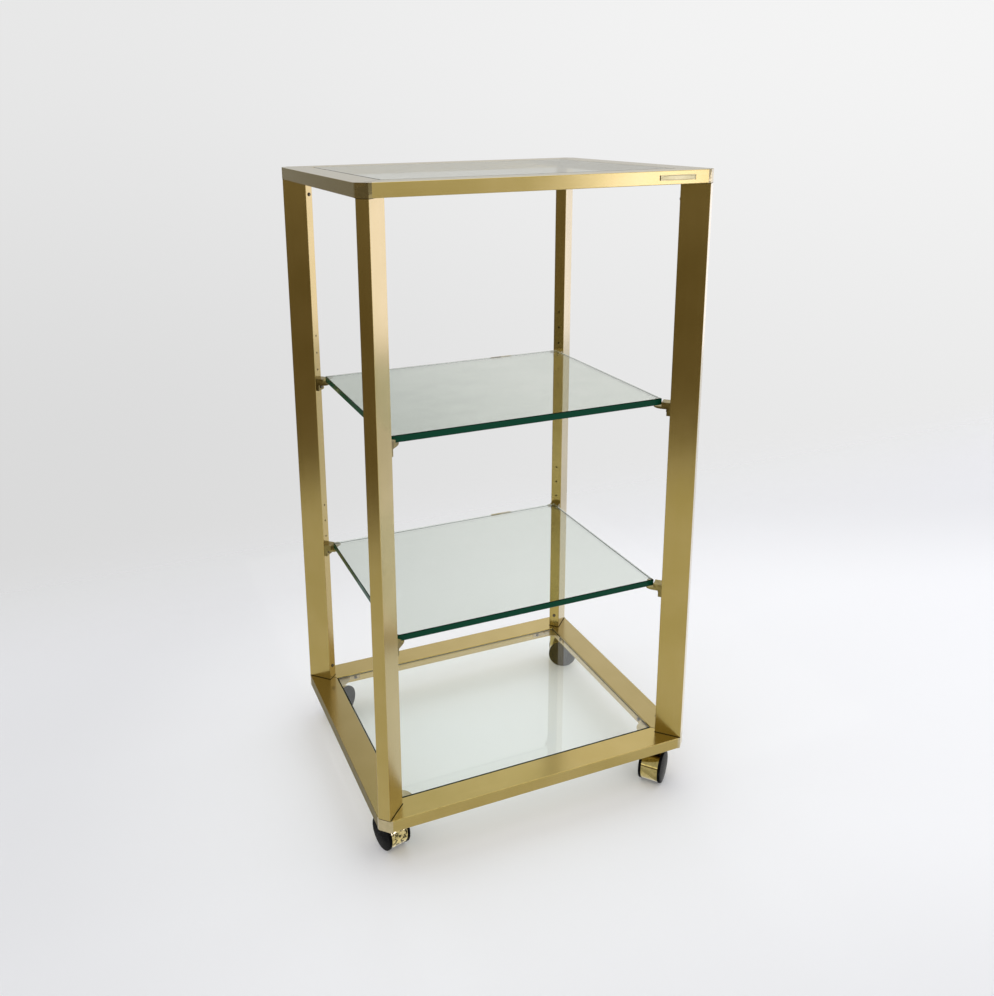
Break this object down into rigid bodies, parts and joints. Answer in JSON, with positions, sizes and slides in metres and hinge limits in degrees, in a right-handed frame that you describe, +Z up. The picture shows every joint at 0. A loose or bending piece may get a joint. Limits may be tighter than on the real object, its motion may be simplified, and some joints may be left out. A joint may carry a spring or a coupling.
{
  "type": "etagere",
  "caption": "Open display stand: gold-toned aluminium frame of diagonal posts between flat rings, clear glass panes and clip-held shelves, on hooded twin-wheel castors.",
  "frame": {"origin": "on the floor, under the centre of the frame", "axes": "+Z up, -Y the front with the name plate, +X to the right seen from the front"},
  "size_m": [0.5107, 0.4203, 0.944],
  "materials": {
    "gold_section": "brushed, gold anodised, satin",
    "gold_casting": "gold anodised, bright on the outer facet",
    "gold_bracket": "gold anodised sheet",
    "clear_glass": "clear float glass with a green edge",
    "bronze": "dark bronze, satin",
    "screw_steel": "browned steel",
    "polished_brass": "polished",
    "castor_black": "gloss black",
    "axle_steel": "bright"
  },
  "bodies": {
    "frame": {"bottom_rail_front": "gold_section", "bottom_rail_rear": "gold_section", "bottom_rail_left": "gold_section", "bottom_rail_right": "gold_section", "bottom_corner_fl": "gold_casting", "bottom_corner_fr": "gold_casting", "bottom_corner_rl": "gold_casting", "bottom_corner_rr": "gold_casting", "bottom_pane_rests": "gold_bracket", "bottom_pane": "clear_glass", "top_rail_front": "gold_section", "top_rail_rear": "gold_section", "top_rail_left": "gold_section", "top_rail_right": "gold_section", "top_corner_fl": "gold_casting", "top_corner_fr": "gold_casting", "top_corner_rl": "gold_casting", "top_corner_rr": "gold_casting", "top_pane_rests": "gold_bracket", "top_pane": "clear_glass", "post_fl": "gold_section", "post_fr": "gold_section", "post_rl": "gold_section", "post_rr": "gold_section", "upper_shelf": "clear_glass", "upper_clip_fl": "bronze", "upper_clip_fr": "bronze", "upper_clip_rl": "bronze", "upper_clip_rr": "bronze", "lower_shelf": "clear_glass", "lower_clip_fl": "bronze", "lower_clip_fr": "bronze", "lower_clip_rl": "bronze", "lower_clip_rr": "bronze", "frame_screws": "screw_steel", "post_screws": "screw_steel", "clip_screws": "screw_steel", "castor_stems": "screw_steel", "name_plate": "polished_brass"},
    "castor_fl": {"castor_fl_hood": "polished_brass", "castor_fl_housing": "castor_black", "castor_fl_axle": "axle_steel"},
    "castor_fl_left": {"castor_fl_wheel_left": "castor_black"},
    "castor_fl_right": {"castor_fl_wheel_right": "castor_black"},
    "castor_fr": {"castor_fr_hood": "polished_brass", "castor_fr_housing": "castor_black", "castor_fr_axle": "axle_steel"},
    "castor_fr_left": {"castor_fr_wheel_left": "castor_black"},
    "castor_fr_right": {"castor_fr_wheel_right": "castor_black"},
    "castor_rl": {"castor_rl_hood": "polished_brass", "castor_rl_housing": "castor_black", "castor_rl_axle": "axle_steel"},
    "castor_rl_left": {"castor_rl_wheel_left": "castor_black"},
    "castor_rl_right": {"castor_rl_wheel_right": "castor_black"},
    "castor_rr": {"castor_rr_hood": "polished_brass", "castor_rr_housing": "castor_black", "castor_rr_axle": "axle_steel"},
    "castor_rr_left": {"castor_rr_wheel_left": "castor_black"},
    "castor_rr_right": {"castor_rr_wheel_right": "castor_black"}
  },
  "joints": [
    {"name": "castor_fl_swivel", "type": "hinge", "parent": "frame", "child": "castor_fl", "pos_m": [-0.217, -0.172, 0.045], "axis": [0, 0, 1], "continuous": true},
    {"name": "castor_fl_left_spin", "type": "hinge", "parent": "castor_fl", "child": "castor_fl_left", "pos_m": [-0.2206, -0.15641, 0.025], "axis": [-0.9744, -0.225, 0], "continuous": true},
    {"name": "castor_fl_right_spin", "type": "hinge", "parent": "castor_fl", "child": "castor_fl_right", "pos_m": [-0.2206, -0.15641, 0.025], "axis": [-0.9744, -0.225, 0], "continuous": true},
    {"name": "castor_fr_swivel", "type": "hinge", "parent": "frame", "child": "castor_fr", "pos_m": [0.217, -0.172, 0.045], "axis": [0, 0, 1], "continuous": true},
    {"name": "castor_fr_left_spin", "type": "hinge", "parent": "castor_fr", "child": "castor_fr_left", "pos_m": [0.20483, -0.18239, 0.025], "axis": [0.6494, -0.7604, 0], "continuous": true},
    {"name": "castor_fr_right_spin", "type": "hinge", "parent": "castor_fr", "child": "castor_fr_right", "pos_m": [0.20483, -0.18239, 0.025], "axis": [0.6494, -0.7604, 0], "continuous": true},
    {"name": "castor_rl_swivel", "type": "hinge", "parent": "frame", "child": "castor_rl", "pos_m": [-0.217, 0.172, 0.045], "axis": [0, 0, 1], "continuous": true},
    {"name": "castor_rl_left_spin", "type": "hinge", "parent": "castor_rl", "child": "castor_rl_left", "pos_m": [-0.20389, 0.18118, 0.025], "axis": [-0.5736, 0.8192, 0], "continuous": true},
    {"name": "castor_rl_right_spin", "type": "hinge", "parent": "castor_rl", "child": "castor_rl_right", "pos_m": [-0.20389, 0.18118, 0.025], "axis": [-0.5736, 0.8192, 0], "continuous": true},
    {"name": "castor_rr_swivel", "type": "hinge", "parent": "frame", "child": "castor_rr", "pos_m": [0.217, 0.172, 0.045], "axis": [0, 0, 1], "continuous": true},
    {"name": "castor_rr_left_spin", "type": "hinge", "parent": "castor_rr", "child": "castor_rr_left", "pos_m": [0.23099, 0.16424, 0.025], "axis": [0.4848, 0.8746, 0], "continuous": true},
    {"name": "castor_rr_right_spin", "type": "hinge", "parent": "castor_rr", "child": "castor_rr_right", "pos_m": [0.23099, 0.16424, 0.025], "axis": [0.4848, 0.8746, 0], "continuous": true}
  ]
}
